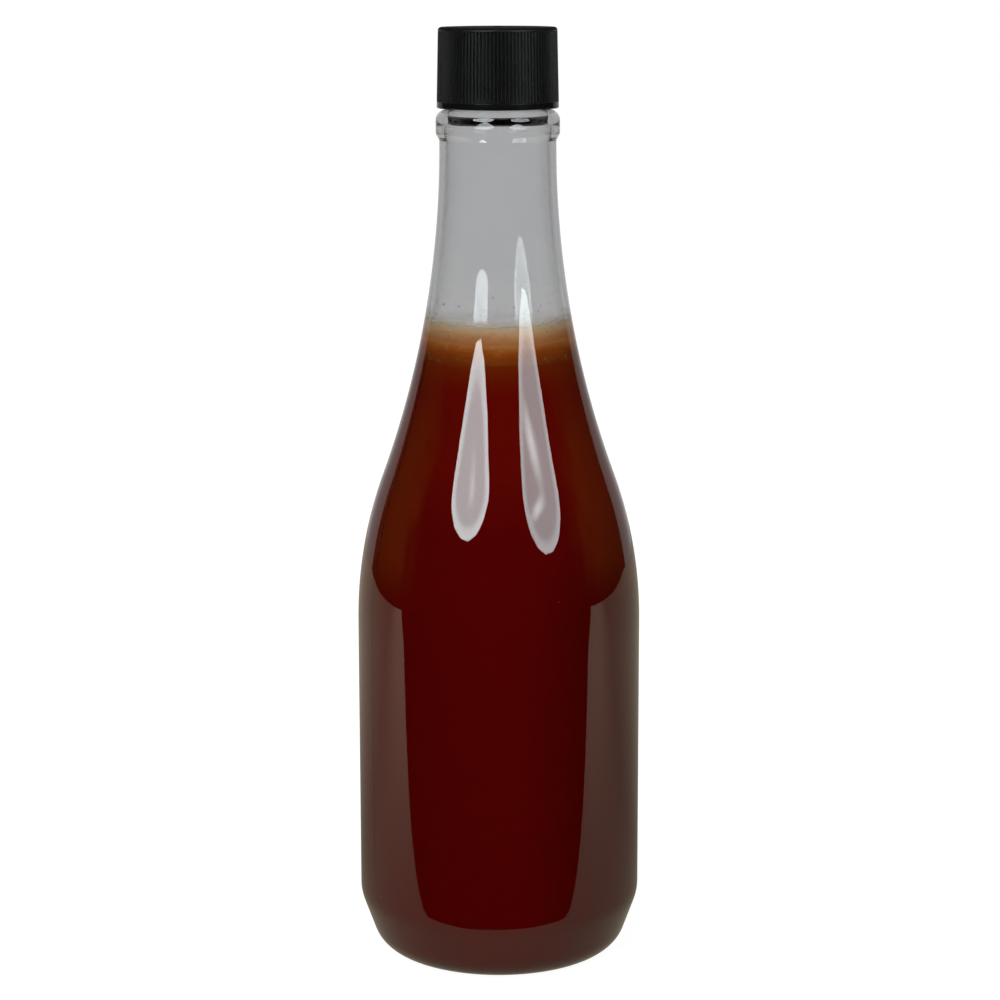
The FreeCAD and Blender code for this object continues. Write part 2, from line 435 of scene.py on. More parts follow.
def lathe(name: str, points: Profile, segments: int, material: Material) -> Object:
    """Turns an outline round the axis with geometry nodes.

    Args:
        name: Name of the piece.
        points: Points (radius, height) of the outline, in millimetres.
        segments: Number of steps round the axis.
        material: Material of the piece.

    Returns:
        A closed, smooth piece whose faces point outwards.
    """
    outline = bpy.data.meshes.new(name + "_outline")
    outline.from_pydata([(radius * MM, 0.0, height * MM) for radius, height in points],
                        [(index, index + 1) for index in range(len(points) - 1)], [])
    tree = GeometryTree("Turn Outline", Segments=segments, Seam_Distance=1e-6, Material=material)
    given = tree.given
    count = tree.read("Point Count", "AttributeDomainSize", {"component": "MESH"}, Geometry=given["Geometry"])
    segment_count = Value(tree, given["Segments"])
    grid = tree.add("MeshGrid", Vertices_X=segment_count + 1.0, Vertices_Y=count)
    index = tree.read(0, "InputIndex")
    along, column = (tree.read(0, "FunctionNodeIntegerMath", {"operation": operation}, in_0=index, in_1=count)
                     for operation in ("MODULO", "DIVIDE_FLOOR"))
    radius, _, height = tree.split(tree.read(
        0, "SampleIndex", {"data_type": "FLOAT_VECTOR", "domain": "POINT"}, Geometry=given["Geometry"],
        Index=along, Value=tree.read(0, "InputPosition")))
    angle = column / segment_count * (2 * math.pi)
    place = tree.read(0, "ShaderNodeCombineXYZ", in_0=radius * tree.math("SINE", angle),
                      in_1=radius * tree.math("COSINE", angle), in_2=height)
    turned = tree.add("SetPosition", Geometry=grid.outputs["Mesh"], Position=place)
    merged = tree.add("MergeByDistance", Geometry=turned.outputs[0], Distance=given["Seam Distance"])
    smooth = tree.add("SetShadeSmooth", Geometry=merged.outputs[0])
    piece = tree.run(name, outline, smooth.outputs[0])
    face_outwards(piece.data)
    return piece


def face_outwards(mesh: Mesh) -> None:
    """Turns a closed mesh's faces so that they point out of the solid.

    Args:
        mesh: The mesh, which is changed.
    """
    work = bmesh.new()
    work.from_mesh(mesh)
    if work.calc_volume(signed=True) < 0:
        bmesh.ops.reverse_faces(work, faces=work.faces[:])
    work.to_mesh(mesh)
    work.free()


def new_mesh(name: str, vertices: Sequence[Vector], faces: Sequence[Sequence[int]]) -> Mesh:
    """Mesh of vertices in metres and faces.

    Args:
        name: Name of the mesh.
        vertices: Places in metres.
        faces: Vertex numbers of each face.

    Returns:
        The mesh.
    """
    mesh = bpy.data.meshes.new(name)
    mesh.from_pydata([tuple(vertex) for vertex in vertices], [], faces)
    return mesh


def mesh_piece(name: str, vertices: Sequence[Vector], faces: Sequence[Sequence[int]],
               material: Material, closed: bool = True) -> Object:
    """Smooth piece made of vertices and faces.

    Args:
        name: Name of the piece.
        vertices: Places in metres.
        faces: Vertex numbers of each face.
        material: Material of the piece.
        closed: Whether it is a closed solid, whose faces are then turned outwards.

    Returns:
        The piece.
    """
    mesh = new_mesh(name, vertices, faces)
    mesh.polygons.foreach_set("use_smooth", [True] * len(mesh.polygons))
    mesh.materials.append(material)
    if closed:
        face_outwards(mesh)
    piece = bpy.data.objects.new(name, mesh)
    bpy.context.scene.collection.objects.link(piece)
    return piece


def ring_faces(rings: int, around: int, closed_loop: bool = False) -> list[tuple[int, ...]]:
    """Quads that join rings of vertices.

    Args:
        rings: Number of rings.
        around: Vertices in each ring.
        closed_loop: Whether the last ring joins the first.

    Returns:
        Vertex numbers of each quad.
    """
    return [(ring * around + index, ring * around + (index + 1) % around,
             (ring + 1) % rings * around + (index + 1) % around, (ring + 1) % rings * around + index)
            for ring in range(rings if closed_loop else rings - 1) for index in range(around)]


def bar_mesh(sections: Sequence[Sequence[Vector]]) -> tuple[list[Vector], list[tuple[int, ...]]]:
    """Vertices and faces of a bar through sections of equal size, closed at both ends.

    Args:
        sections: Sections in order along the bar, in metres.

    Returns:
        The vertices, and the vertex numbers of each face.
    """
    around, last = len(sections[0]), (len(sections) - 1) * len(sections[0])
    faces = ring_faces(len(sections), around)
    faces += [tuple(range(around))[::-1], tuple(last + index for index in range(around))]
    return [corner for section in sections for corner in section], faces


def thread_ridge(name: str, wall_r: float, crest_r: float, start_z: float, pitch: float,
                 material: Material) -> Object:
    """Trapezoid ridge that climbs one and a half turns round a wall, with its root sunk into the wall.

    Args:
        name: Name of the piece.
        wall_r: Radius of the wall that carries it, in millimetres.
        crest_r: Radius of its crest.
        start_z: Height of its lower end.
        pitch: Climb in one turn.
        material: Material of the piece.

    Returns:
        The piece.
    """
    turns, steps, bite, root_share, crest_share = 1.5, 144, 0.2, 0.63, 0.25
    root_r = wall_r - math.copysign(bite, crest_r - wall_r)
    half_root, half_crest = pitch * root_share / 2, pitch * crest_share / 2
    sections = []
    for step in range(steps + 1):
        angle = math.pi / 2 + 2 * math.pi * turns * step / steps
        middle = start_z + pitch * turns * step / steps
        sections.append([round_the_axis(radius, angle, middle + height) for radius, height in
                         ((root_r, -half_root), (crest_r, -half_crest), (crest_r, half_crest),
                          (root_r, half_root))])
    return mesh_piece(name, *bar_mesh(sections), material)


def hand_over(piece: Object, slot: str, *nodes: str) -> None:
    """Fixes a finished piece to the part's body and reports it.

    Args:
        piece: The piece.
        slot: The record's material slot of its finish; it is not used.
        *nodes: CAD nodes that it stands for.
    """
    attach(piece, ROOT)
    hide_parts(*nodes)
    triangles = sum(len(face.vertices) - 2 for face in piece.data.polygons)
    log.info("%s: %d triangles, in place of %s", piece.name, triangles, ", ".join(nodes))


# Finishes

@dataclass(frozen=True)
class Finish:
    """What every finish shares: a name and a material made of nodes."""

    name: str

    def start(self) -> ShaderTree:
        """Empty tree of a new material."""
        return ShaderTree.of_material(self.name)


@dataclass(frozen=True)
class ClearPlastic(Finish):
    """Blown clear plastic, faintly smoky, that lets lamps through to what it holds."""

    tint: Colour = (0.679, 0.683, 0.689)
    ior: float = 1.575
    shadow_share: float = 0.95

    def material(self) -> Material:
        """Glass-like plastic with a stand-in that lets light from the lamps pass.

        Returns:
            The material.
        """
        tree = self.start()
        plastic = tree.add("BsdfPrincipled", Base_Color=self.tint, Roughness=0.0, IOR=self.ior,
                           Transmission_Weight=1.0)
        one_face = tuple(math.sqrt(value) * self.shadow_share for value in self.tint)
        open_way = tree.add("BsdfTransparent", Color=one_face)
        return tree.show(tree.mix(tree.read("Is Shadow Ray", "LightPath"), plastic, open_way))


@dataclass(frozen=True)
class CapPlastic(Finish):
    """Moulded black polypropylene: shiny on the band, duller on the ribs and dull on top."""

    colour: Colour = (0.0028, 0.0029, 0.0029)
    band_top: float = 193.9
    top_edge: float = 209.7
    band_roughness: float = 0.16
    rib_roughness: float = 0.34
    top_roughness: float = 0.75
    skin_scale: float = 5200.0
    patch_scale: float = 420.0

    def material(self) -> Material:
        """Dark plastic with a fine grain in its gloss and its surface.

        Returns:
            The material.
        """
        tree = self.start()
        place = tree.place()
        height = tree.split(place)[2]
        patches = tree.noise(place, self.patch_scale)
        ribbed = tree.span(height, (self.band_top - 0.1) * MM, (self.band_top + 0.1) * MM)
        topped = tree.span(height, (self.top_edge - 0.25) * MM, self.top_edge * MM)
        zones = (ribbed * (self.rib_roughness - self.band_roughness)
                 + topped * (self.top_roughness - self.rib_roughness)) + (self.band_roughness - 0.03)
        darker, lighter = (tuple(value * share for value in self.colour) for share in (0.8, 1.25))
        bump = tree.add("Bump", Height=tree.noise(place, self.skin_scale, 3.0), Strength=0.05,
                        Distance=0.00003)
        return tree.show(tree.add(
            "BsdfPrincipled", Base_Color=tree.blend(patches, darker, lighter), Roughness=zones + patches * 0.06,
            Specular_IOR_Level=0.5 - ribbed * 0.14 - topped * 0.26, Normal=bump.outputs[0]))


@dataclass(frozen=True)
class SauceFinish(Finish):
    """Dark red pepper sauce, a little lighter under the froth, with painted light that browns the shoulder's
    sides and painted shade low on its right side.
    """

    low: Colour = (0.088, 0.0003, 0.0001)
    middle: Colour = (0.0945, 0.0006, 0.0001)
    high: Colour = (0.118, 0.0023, 0.0001)
    top: Colour = (0.136, 0.0165, 0.0005)
    # colour of the painted side light that browns the shoulder's left and right sides
    brown: Colour = (0.128, 0.0122, 0.0006)
    drip: Colour = (0.20, 0.036, 0.005)
    fleck: Colour = (0.30, 0.060, 0.012)
    top_z: float = 137.4

    def material(self) -> Material:
        """Deep red with brown streaks in the painted side light on the shoulder, drips that run down, a few
        fine flecks, and painted shade low on the right side.

        Returns:
            The material.
        """
        tree = self.start()
        place = tree.place()
        across, deep, height = tree.split(place)

        def between(value: Value, low: float, high: float, smooth: bool = True) -> Value:
            """Rise from 0 to 1 between two places in millimetres."""
            return tree.span(value, low * MM, high * MM, smooth)

        streaks = tree.noise(tree.stretched(place, (1.0, 1.0, 9.0)), 190.0, 3.0)
        body = tree.ramp(between(height, 20, 125, smooth=False),
                         [(0.0, self.low), (0.60, self.middle), (0.78, self.middle), (0.92, self.high),
                          (1.0, self.high)])
        # Painted light: the shoulder is coloured browner towards its left and right sides, where side light
        # passes through the sauce; vertical streaks break up the edge.
        sideways = abs(across) / tree.length(tree.read(0, "CombineXYZ", X=across, Y=deep))
        shoulder = between(height, 83, 97) * (1.0 - between(height, 118, 132) * 0.5)
        painted_side_light = shoulder * tree.span(sideways + (streaks - 0.5) * 0.35, 0.56, 0.74)
        body = tree.blend(painted_side_light, body, self.brown)
        body = tree.blend(between(height, self.top_z - 7, self.top_z, smooth=False) ** 1.8, body, self.top)
        # Painted shade: the sauce is darkened towards black on its right side below the shoulder.
        shaded = between(across, 3, 22) * between(height, 110, 82)
        body = tree.blend(shaded * 0.24, body, (0.0, 0.0, 0.0))
        off_run, run_parts = tree.spots(tree.stretched(place, (1.0, 1.0, 7.0)), 210.0)
        run = (tree.span(off_run, 0.24, 0.05) * (run_parts[1] > 0.93)
               * (between(height, 88, 96) * between(height, 122, 112)))
        body = tree.blend(run * 0.5, body, self.drip)
        off_fleck, fleck_parts = tree.spots(place, 230.0)
        flecked = tree.blend((off_fleck < 0.045) * (fleck_parts[0] > 0.9), body, self.fleck)
        return tree.show(tree.add("BsdfPrincipled", Base_Color=flecked, Roughness=0.5, Specular_IOR_Level=0.0))


@dataclass(frozen=True)
class LayeredFinish(Finish):
    """Finish with the colours of the froth by height: dark brown, orange brown, tan and pale."""

    foot: float = 137.2
    fades_at: float = 148.4
    side_drop: float = 0.04

    def layers(self, tree: ShaderTree) -> tuple[Value, Value]:
        """Height in the froth, made uneven by flat wisps and fine bubbles, and the colour there.

        Args:
            tree: The tree of the material.

        Returns:
            The height from 0 at the foot to 1 where the froth has faded, and the colour.
        """
        place = tree.place()
        across, _, up = tree.split(place)
        flat = tree.stretched(place, (2.6, 2.6, 1.0))
        uneven = abs(across) * -self.side_drop
        for scale, share, where in ((330.0, 2.2, flat), (1150.0, 1.1, flat), (2300.0, 0.7, place)):
            uneven = uneven + (tree.noise(where, scale, 4.0, 0.6) - 0.5) * (share * MM)
        height = tree.span(up + uneven, self.foot * MM, self.fades_at * MM, smooth=False)
        colour = tree.ramp(height, [(0.0, (0.142, 0.0190, 0.0011)), (0.08, (0.155, 0.0331, 0.0023)),
                                    (0.15, (0.187, 0.0368, 0.0023)), (0.22, (0.228, 0.0515, 0.0041)),
                                    (0.295, (0.270, 0.0810, 0.0114)), (0.375, (0.322, 0.1270, 0.0360)),
                                    (0.45, (0.335, 0.1472, 0.0495)), (0.52, (0.365, 0.1840, 0.0792)),
                                    (0.6, (0.418, 0.2438, 0.1215)), (0.68, (0.461, 0.3404, 0.2070)),
                                    (0.76, (0.479, 0.4048, 0.2970)), (1.0, (0.435, 0.4048, 0.3420))])
        return height, colour


@dataclass(frozen=True)
class FrothFinish(LayeredFinish):
    """Fine froth, layered at the wall and pale on top."""

    top: Colour = (0.72, 0.64, 0.50)
    line: Colour = (0.075, 0.016, 0.0015)
    bubble: Colour = (0.55, 0.32, 0.14)

    def material(self) -> Material:
        """Layers of colour, with a broken dark line at the foot and small bubbles.

        Returns:
            The material.
        """
        tree = self.start()
        _, layered = self.layers(tree)
        place = tree.place()
        rise = tree.read("Fac", "Attribute", {"attribute_name": "rise"})
        grain, patches = tree.noise(place, 900.0), tree.noise(place, 120.0)
        topped = tree.blend(tree.span(rise, 1.0, 1.5), layered, self.top)
        lined = tree.span(abs(rise), 0.06, 0.015) * tree.span(patches, 0.35, 0.6)
        edged = tree.blend(lined * 0.55, topped, self.line)
        paler = tree.blend(tree.span(grain, 0.55, 0.85) * 0.2, edged, self.bubble)
        bump = tree.add("Bump", Height=grain, Strength=0.4, Distance=0.0002)
        return tree.show(tree.add("BsdfPrincipled", Base_Color=paler, Roughness=0.6, Specular_IOR_Level=0.1,
                                  Normal=bump.outputs[0]))


@dataclass(frozen=True)
class ResidueFinish(LayeredFinish):
    """Film of fine froth left on the wall above the froth's rim, which thins out upwards."""

    low: float = 140.8
    high: float = 150.0
    cover: tuple[tuple[float, float], ...] = ((0.0, 1.0), (0.62, 1.0), (0.69, 0.86), (0.76, 0.50),
                                              (0.84, 0.16), (0.92, 0.05), (1.0, 0.0))

    def material(self) -> Material:
        """The froth's layers, with a cover that falls with height and is faint at the back.

        Returns:
            The material.
        """
        tree = self.start()
        height, layered = self.layers(tree)
        cover = tree.ramp(height, [(place, (level,) * 3) for place, level in self.cover])
        front = tree.span(tree.split(tree.place())[1], 6 * MM, -4 * MM)
        return tree.show(tree.add("BsdfPrincipled", Base_Color=layered, Roughness=0.6, Specular_IOR_Level=0.0,
                                  Alpha=cover * (front * 0.94 + 0.06)))


@dataclass(frozen=True)
class SpeckFinish(Finish):
    """Dried dark specks of sauce and pepper."""

    colour: Colour = (0.030, 0.014, 0.008)

    def material(self) -> Material:
        """Dark brown that varies a little from speck to speck.

        Returns:
            The material.
        """
        tree = self.start()
        reddish = tuple(value * 3 for value in self.colour)
        mixed = tree.blend(tree.noise(tree.place(), 300.0), self.colour, reddish)
        return tree.show(tree.add("BsdfPrincipled", Base_Color=mixed, Roughness=0.5))


# The bottle

@dataclass
class Bottle:
    """Blown bottle: base, body, shoulder, neck, bead and threaded finish."""

    finish: ClearPlastic
    body_r: float = 32.0
    body_top_z: float = 77.3
    wall: float = 0.5
    chamfer_h: float = 13.5
    chamfer_angle: float = 20.0
    chamfer_round: float = 10.3
    heel_round: float = 7.6
    foot_w: float = 1.3
    foot_round: float = 1.5
    push_up_h: float = 4.5
    push_up_slope_w: float = 7.0
    push_up_round: float = 6.0
    neck_rise: float = 107.5
    shoulder_round: float = 97.0
    thicken_drop: float = 41.6
    thicken_bow: float = 2.2
    flare_wall_drop: float = 27.6
    flare_wall: float = 0.98
    neck_wall_drop: float = 12.8
    neck_wall: float = 1.35
    flare_blend_round: float = 80.0
    flare_blend_w: float = 1.9
    bore_r: float = 9.0
    finish_wall: float = 1.9
    finish_h: float = 16.4
    finish_foot_round: float = 0.4
    mouth_round: float = 0.4
    thread_pitch: float = 3.175
    thread_top_gap: float = 2.6
    thread_depth: float = 0.95
    bore_taper_h: float = 4.0
    bore_taper_rise: float = 1.0
    bore_taper_round: float = 0.8
    bore_foot_round: float = 4.0
    bead_h: float = 6.7
    bead_ledge_w: float = 0.43
    bead_top_round: float = 2.4
    bead_step: float = 0.78
    bead_taper_h: float = 1.4
    bead_taper_round: float = 1.0
    bead_foot_round: float = 0.5
    bead_foot_rise: float = 0.7
    bead_wall: float = 1.7
    bead_inner_round: float = 4.0
    seam_angle: float = -62.0
    seam_w: float = 0.34
    seam_h: float = 0.012
    seam_sunk: float = 0.03
    seam_foot: float = 16.0
    seam_top: float = 140.0
    segments: int = 224

    def __post_init__(self) -> None:
        """Works out the radii and heights that follow from the sizes."""
        self.finish_r = self.bore_r + self.finish_wall
        self.bead_r = self.finish_r + self.bead_ledge_w + self.bead_top_round
        self.neck_r = self.bead_r - self.bead_step
        self.neck_z = self.body_top_z + self.neck_rise
        self.bead_foot_z = self.neck_z + self.bead_foot_rise
        self.bead_top_z = self.bead_foot_z + self.bead_h
        self.mouth_z = self.bead_top_z + self.finish_h
        self.outside = trace(self.outer_corners(), Grain.CLEAR)
        self.inside = trace(self.inner_corners(), Grain.CLEAR)

    def base_corners(self) -> list[Corner]:
        """Raised middle, standing ring, heel and taper.

        Returns:
            Corners in order, from the axis outwards.
        """
        heel_r = self.body_r - self.chamfer_h * math.tan(math.radians(self.chamfer_angle))
        foot_outer_r = heel_r - self.heel_round * math.tan(math.radians(90 - self.chamfer_angle) / 2)
        slope = math.atan2(self.push_up_h, self.push_up_slope_w)
        foot_inner_r = foot_outer_r - self.foot_w - self.foot_round * math.tan(slope / 2)
        return [Corner(0, self.push_up_h),
                Corner(foot_inner_r - self.push_up_slope_w, self.push_up_h, self.push_up_round),
                Corner(foot_inner_r, 0, self.foot_round),
                Corner(heel_r, 0, self.heel_round),
                Corner(self.body_r, self.chamfer_h, self.chamfer_round)]

    def flare_shape(self) -> tuple[float, float]:
        """Radius of the flare, and the angle over which it turns from the shoulder's lean to upright."""
        step_in = self.body_r - self.neck_r
        both_rounds = (self.neck_rise ** 2 + step_in ** 2) / (2 * step_in)
        return both_rounds - self.shoulder_round, math.asin(self.neck_rise / both_rounds)

    def blown_corners(self) -> list[Corner]:
        """Outside from the middle of the base up to the top of the bead.

        Returns:
            Corners in order.
        """
        flare_round, turn = self.flare_shape()
        half_turn = turn / 2
        return self.base_corners() + [
            Corner(self.body_r, self.body_top_z + self.shoulder_round * math.tan(half_turn),
                   self.shoulder_round),
            Corner(self.neck_r, self.neck_z - flare_round * math.tan(half_turn), flare_round),
            Corner(self.neck_r, self.bead_foot_z, self.bead_foot_round),
            Corner(self.bead_r, self.bead_foot_z + self.bead_taper_h, self.bead_taper_round),
            Corner(self.bead_r, self.bead_top_z, self.bead_top_round)]

    def outer_corners(self) -> list[Corner]:
        """Outside of the bottle up to the mouth."""
        return self.blown_corners() + [Corner(self.finish_r, self.bead_top_z, self.finish_foot_round),
                                       Corner(self.finish_r, self.mouth_z, self.mouth_round),
                                       Corner(self.bore_r, self.mouth_z)]

    def inner_flare_corners(self) -> list[Corner]:
        """Inside of the flare, whose wall thickens upwards in two stages.

        Returns:
            Corners in order, up to the top of the flare.
        """
        flare_round, turn = self.flare_shape()
        drops = (self.thicken_drop, self.flare_wall_drop, self.neck_wall_drop, 0.0)
        leans = [turn] + [math.asin(drop / flare_round) for drop in drops]
        walls = [self.wall, self.wall, self.flare_wall, self.neck_wall, self.neck_wall]
        bows = [flare_round + wall for wall in walls[1:]]
        bows[1] *= self.thicken_bow
        points = [Vector((self.neck_r + flare_round - (flare_round + wall) * math.cos(lean),
                          self.neck_z - (flare_round + wall) * math.sin(lean)))
                  for lean, wall in zip(leans, walls)]
        corners = []
        for low, high, bow in zip(points, points[1:], bows):
            half_turn = math.asin((high - low).length / (2 * bow))
            along = direction(low, high)
            aside = Vector((-along.y, along.x)) * bow * math.sin(half_turn) ** 2 / math.cos(half_turn)
            sunk = (low + high) / 2 + aside
            room = 1 - self.flare_blend_w / (bow * math.tan(half_turn))
            corners += [Corner(sunk.x, sunk.y, bow * room), Corner(high.x, high.y, self.flare_blend_round)]
        return corners[:-1]

    def inner_corners(self) -> list[Corner]:
        """Inside of the bottle from the middle of the base up to the mouth.

        Returns:
            Corners in order.
        """
        shoulder_top = len(self.base_corners()) + 1
        body = offset_left(self.blown_corners(), self.wall)[:shoulder_top]
        taper_top_z = self.bead_top_z + self.bore_taper_rise
        return body + self.inner_flare_corners() + [
            Corner(self.neck_r - self.neck_wall, self.bead_foot_z, self.bead_inner_round),
            Corner(self.bead_r - self.bead_wall, taper_top_z - self.bore_taper_h, self.bore_foot_round),
            Corner(self.bore_r, taper_top_z, self.bore_taper_round),
            Corner(self.bore_r, self.mouth_z)]

    @property
    def thread_start_z(self) -> float:
        """Height of the lower end of the thread."""
        return self.mouth_z - self.thread_top_gap - self.thread_pitch * 1.5

    def inside_radius(self, height: float) -> float:
        """Radius of the inside at a height."""
        return radius_at(self.inside, height)

    def seam(self, name: str, angle: float, material: Material) -> Object:
        """Fine raised line where the two halves of the mould met.

        Args:
            name: Name of the piece.
            angle: Where it runs down the bottle, from the front.
            material: Material of the piece.

        Returns:
            The piece.
        """
        sections = []
        for radius, height in self.outside:
            if self.seam_foot < height < self.seam_top:
                spread = self.seam_w / 2 / radius
                sections.append([round_the_axis(radius + out, angle + aside, height) for out, aside in
                                 ((-self.seam_sunk, -spread), (self.seam_h, 0.0), (-self.seam_sunk, spread))])
        return mesh_piece(name, *bar_mesh(sections), material)

    def build(self) -> None:
        """Makes the wall as one closed skin, with its thread and its seams."""
        material = self.finish.material()
        skin = self.outside + self.inside[::-1]
        hand_over(lathe("bottle_wall", skin, self.segments, material), "clear_plastic", "bottle")
        ridge = thread_ridge("bottle_thread", self.finish_r, self.finish_r + self.thread_depth,
                             self.thread_start_z, self.thread_pitch, material)
        hand_over(ridge, "clear_plastic", "bottle")
        for side, turned in (("left", 0.0), ("right", math.pi)):
            seam = self.seam(f"mould_seam_{side}", math.radians(self.seam_angle) + turned, material)
            hand_over(seam, "clear_plastic", "bottle")


# The cap

@dataclass
class Cap:
    """Screw cap with fine grip ribs between a smooth band and a smooth crown."""

    finish: CapPlastic
    bottle: Bottle
    thread_clearance: float = 0.25
    skirt_wall: float = 1.4
    draft: float = 0.38
    top_t: float = 1.5
    top_round: float = 0.7
    rim_round: float = 0.25
    bead_gap: float = 0.3
    band_h: float = 1.4
    crown_h: float = 0.8
    rib_count: int = 100
    groove_depth: float = 0.32
    groove_share: float = 0.68
    groove_run_out: float = 0.35
    gate_r: float = 0.8
    gate_h: float = 0.199
    segments: int = 200

    def __post_init__(self) -> None:
        """Works out the radii and heights that follow from the sizes."""
        self.bore_r = self.bottle.finish_r + self.bottle.thread_depth + self.thread_clearance
        self.bottom_z = self.bottle.bead_top_z + self.bead_gap
        self.top_z = self.bottle.mouth_z + self.top_t
        self.band_z, self.crown_z = self.bottom_z + self.band_h, self.top_z - self.crown_h

    def skirt_radius(self, height: float) -> float:
        """Radius over the ribs at a height."""
        share = (height - self.bottom_z) / (self.top_z - self.bottom_z)
        return self.bore_r + self.skirt_wall - self.draft * share

    def skirt_corner(self, height: float, rounding: float = 0.0, groove: float = 0.0) -> Corner:
        """Corner on the skirt at a height, or at the bottom of a groove that is so deep."""
        return Corner(self.skirt_radius(height) - groove, height, rounding)

    def body(self, material: Material) -> Object:
        """Skirt at the depth of the grooves, with its band, crown and top.

        Args:
            material: Material of the cap.

        Returns:
            The piece.
        """
        corners = [Corner(0, self.bottle.mouth_z), Corner(self.bore_r, self.bottle.mouth_z),
                   Corner(self.bore_r, self.bottom_z),
                   self.skirt_corner(self.bottom_z, self.rim_round),
                   self.skirt_corner(self.band_z, 0.05),
                   self.skirt_corner(self.band_z + 0.12, groove=self.groove_depth),
                   self.skirt_corner(self.crown_z - self.groove_run_out, groove=self.groove_depth),
                   self.skirt_corner(self.crown_z, 0.05),
                   self.skirt_corner(self.top_z, self.top_round),
                   Corner(self.gate_r + 0.15, self.top_z, 0.1),
                   Corner(self.gate_r, self.top_z + self.gate_h, 0.1),
                   Corner(0, self.top_z + self.gate_h)]
        return lathe("cap_body", trace(corners, Grain.FINE), self.segments, material)

    def rib_mesh(self) -> Mesh:
        """One grip rib at the front, a ridge with a rounded crest.

        Returns:
            A closed mesh.
        """
        pitch = 2 * math.pi / self.rib_count
        half, crest = pitch * 0.5, pitch * (1 - self.groove_share) / 2
        into_ends, run_in, under_skin = 0.05, 0.3, 0.004
        shoulder, foot = (crest * 0.8, 0.03), (crest * 1.25, 0.18)
        falling = [(0.0, 0.0), shoulder, foot, (half, 1.05)]
        section = [(-angle, depth) for angle, depth in falling[:0:-1]] + falling
        rows = []
        for height in (self.band_z - into_ends, self.band_z + run_in, self.crown_z - run_in,
                       self.crown_z + into_ends):
            crest_r = self.skirt_radius(height) - under_skin
            rows.append([round_the_axis(crest_r - depth * self.groove_depth, angle, height)
                         for angle, depth in section])
        mesh = new_mesh("grip_rib", *bar_mesh(rows))
        face_outwards(mesh)
        return mesh

    def ribs(self, material: Material) -> Object:
        """All the grip ribs, one rib repeated round the skirt.

        Args:
            material: Material of the cap.

        Returns:
            The piece.
        """
        tree = GeometryTree("Ring Of Ribs", Rib_Count=self.rib_count, Material=material)
        count = Value(tree, tree.given["Rib Count"])
        spots = tree.add("MeshLine", {"mode": "OFFSET"}, Count=count, Offset=(0.0, 0.0, 0.0))
        angle = tree.read(0, "InputIndex") / count * (2 * math.pi)
        rotation = tree.read(0, "FunctionNodeEulerToRotation",
                             in_0=tree.read(0, "ShaderNodeCombineXYZ", in_2=angle))
        placed = tree.instances(spots.outputs["Mesh"], tree.given["Geometry"], Rotation=rotation)
        return tree.run("cap_ribs", self.rib_mesh(), placed)

    def thread(self, material: Material) -> Object:
        """Inner thread, half a pitch below the bottle's so that the two mesh.

        Args:
            material: Material of the cap.

        Returns:
            The piece.
        """
        pitch = self.bottle.thread_pitch
        return thread_ridge("cap_thread", self.bore_r, self.bottle.finish_r + self.thread_clearance,
                            self.bottle.thread_start_z - pitch / 2, pitch, material)

    def build(self) -> None:
        """Makes the cap's body, its ribs and its thread."""
        material = self.finish.material()
        for piece in (self.body(material), self.ribs(material), self.thread(material)):
            hand_over(piece, "cap_plastic", "cap")


# What the bottle holds

